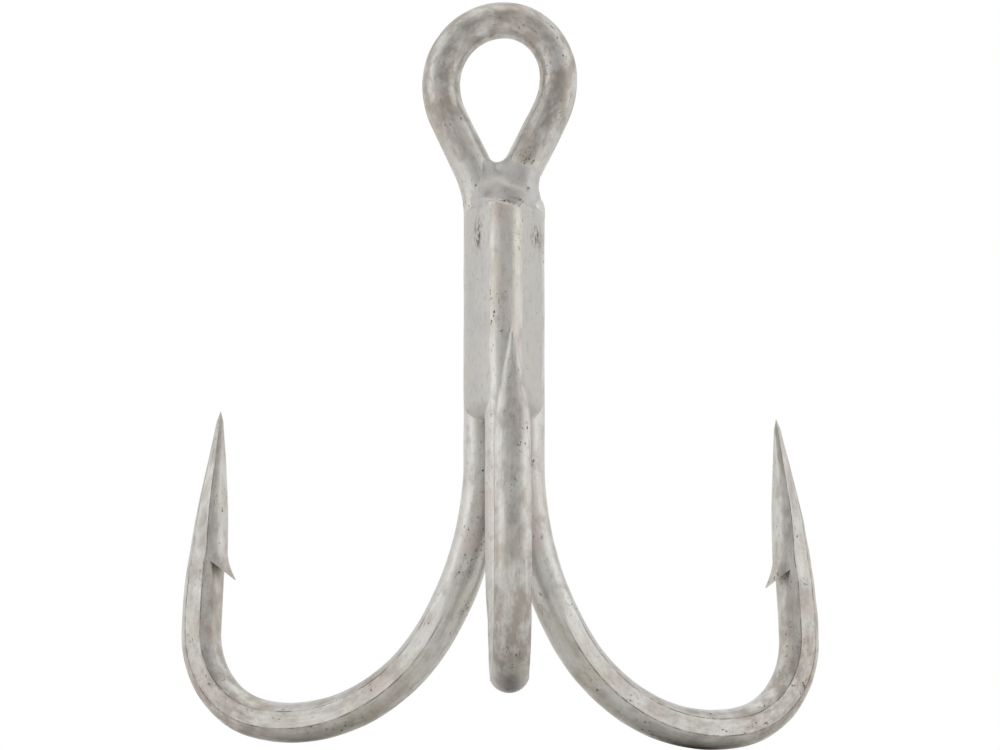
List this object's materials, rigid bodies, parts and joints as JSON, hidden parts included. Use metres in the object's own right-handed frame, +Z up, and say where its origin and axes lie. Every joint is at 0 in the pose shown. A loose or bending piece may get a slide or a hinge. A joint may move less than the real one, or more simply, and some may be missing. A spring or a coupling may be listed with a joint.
{
  "type": "treble hook",
  "caption": "Forged treble fishing hook: barbed hooks at even angles, brazed along a common shank under a closed line eye.",
  "frame": {"origin": "centre of the round part of the line eye", "axes": "+Z up along the shank towards the eye, +Y along the axis of the eye, away from the front hook; the bends are at negative Z"},
  "size_m": [0.0384, 0.0335, 0.0443],
  "materials": {
    "plated_wire": "satin tin plate over high-carbon steel wire",
    "plated_braze": "satin tin plate over brass braze"
  },
  "bodies": {
    "root": {"eyed_hook": "plated_wire", "right_hook": "plated_wire", "front_hook": "plated_wire", "braze_core": "plated_braze", "braze_back": "plated_braze", "braze_front_left": "plated_braze", "braze_front_right": "plated_braze", "eye_braze": "plated_braze"}
  },
  "joints": []
}
